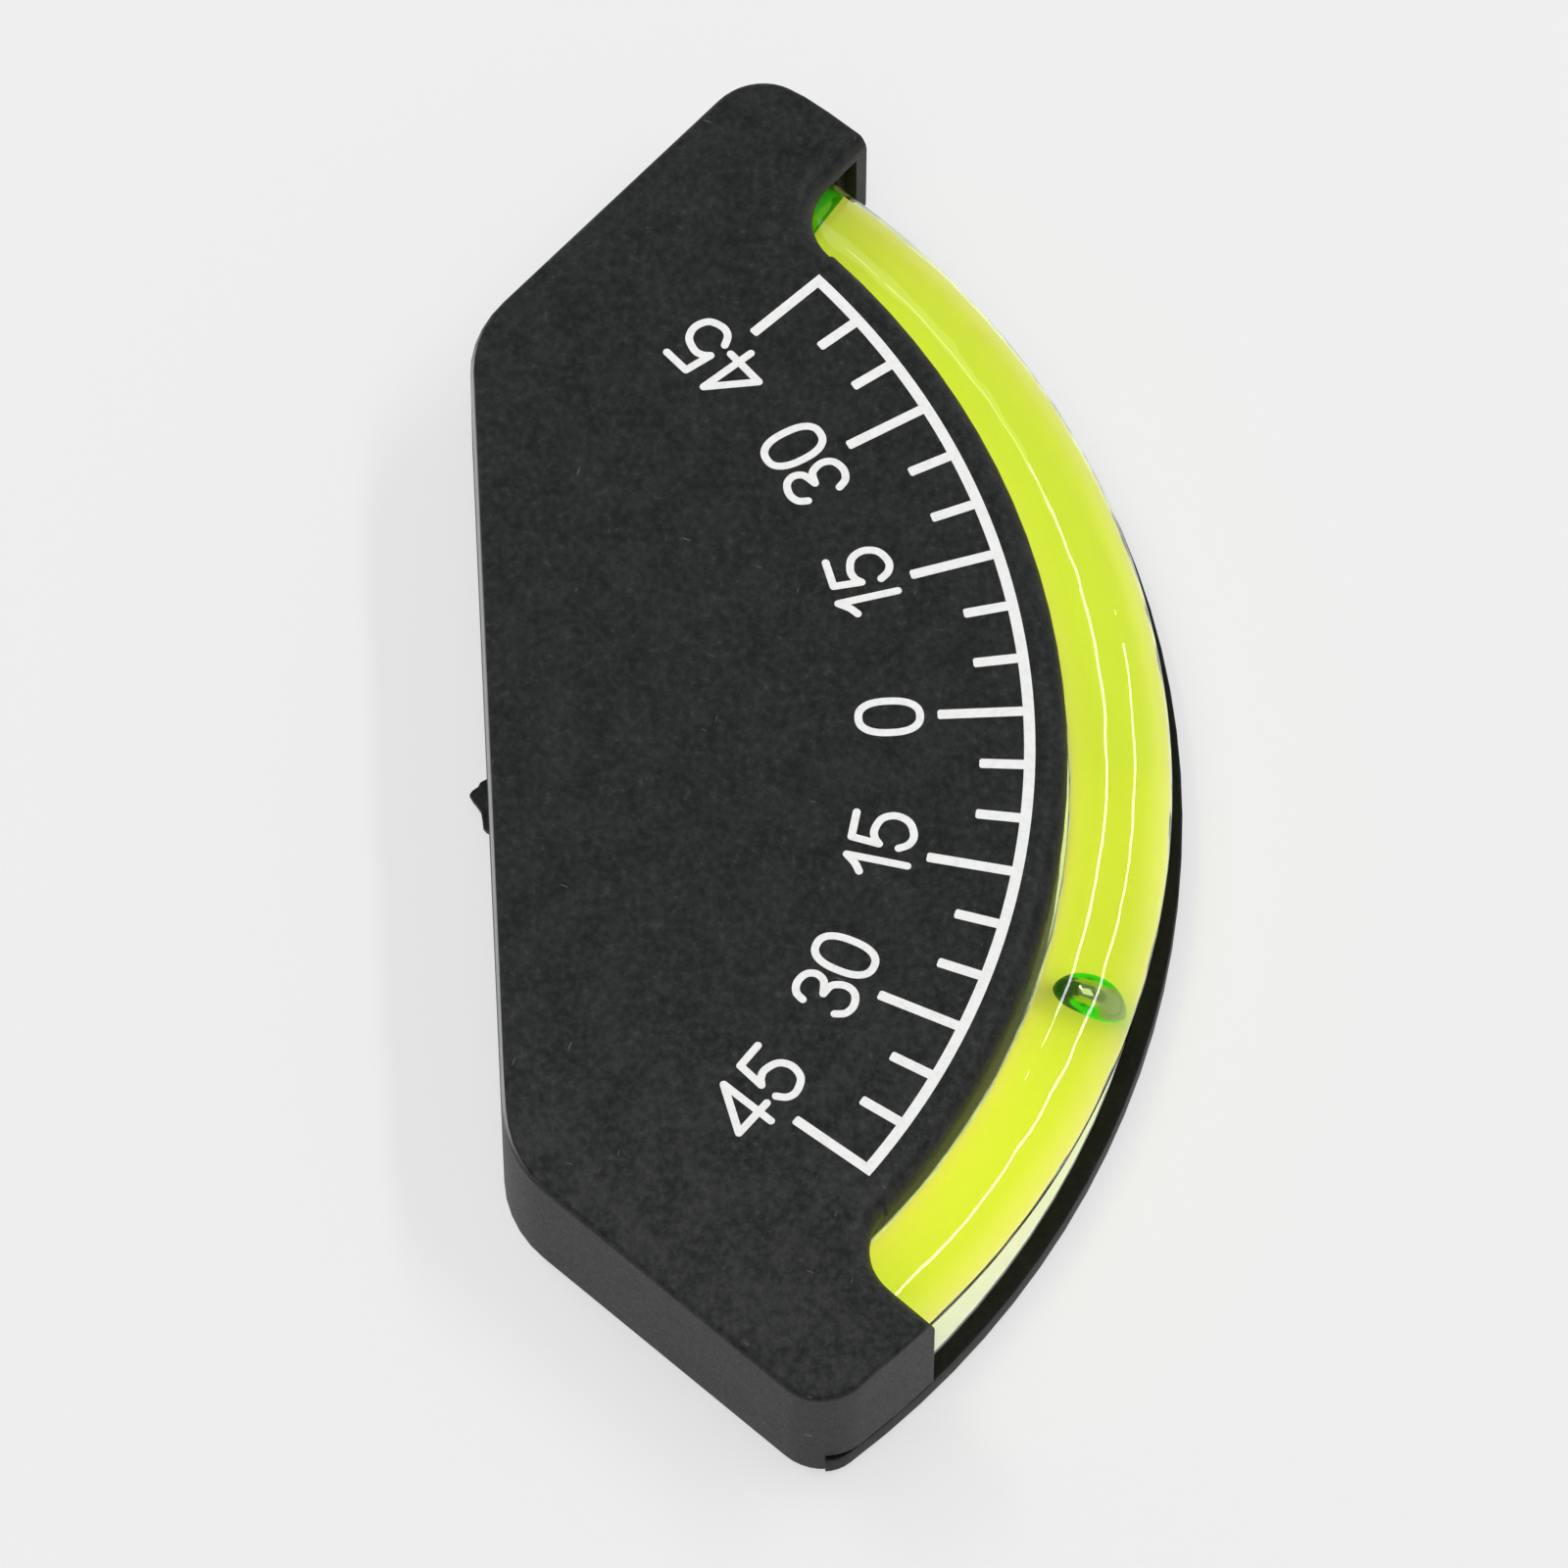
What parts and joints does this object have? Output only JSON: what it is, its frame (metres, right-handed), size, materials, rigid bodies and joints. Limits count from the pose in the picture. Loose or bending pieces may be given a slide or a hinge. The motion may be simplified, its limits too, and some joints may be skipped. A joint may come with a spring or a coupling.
{
  "type": "ball inclinometer",
  "caption": "Wedge-sided black dial with a curved liquid-filled vial along its lower edge and a steel ball that shows the angle of tilt.",
  "frame": {"origin": "under the middle of the part, on the surface that it lies on when its face looks up", "axes": "+X to the right and +Y up as the dial is read, +Z out of its face"},
  "size_m": [0.1092, 0.0517, 0.0121],
  "materials": {
    "housing": "black moulded plastic, fine matte grain",
    "plate": "black moulded plastic, fine matte grain",
    "vial": "clear, polished",
    "ball": "polished steel",
    "fluid": "fluorescent yellow-green liquid",
    "plug": "smooth, stained green by the liquid",
    "seal": "dark sealing compound",
    "reflector": "white strip, satin",
    "pad": "closed-cell foam with adhesive faces",
    "liner": "waxed release paper"
  },
  "bodies": {
    "housing": {"front_housing": "housing", "back_plate": "plate", "vial_tube": "vial", "damping_fluid": "fluid", "vial_plug_left": "plug", "vial_plug_right": "plug", "plug_seal_left": "seal", "plug_seal_right": "seal", "reflector_strip": "reflector", "adhesive_pad_left": "pad", "adhesive_pad_right": "pad", "pad_liner_left": "liner", "pad_liner_right": "liner"},
    "ball": {"indicator_ball": "ball"}
  },
  "joints": [
    {"name": "ball_travel", "type": "hinge", "parent": "housing", "child": "ball", "pos_m": [0, 0.03825, 0.00585], "axis": [0, 0, 1], "range_deg": [-26.4, 66.6], "deforming": ["damping_fluid"]}
  ]
}
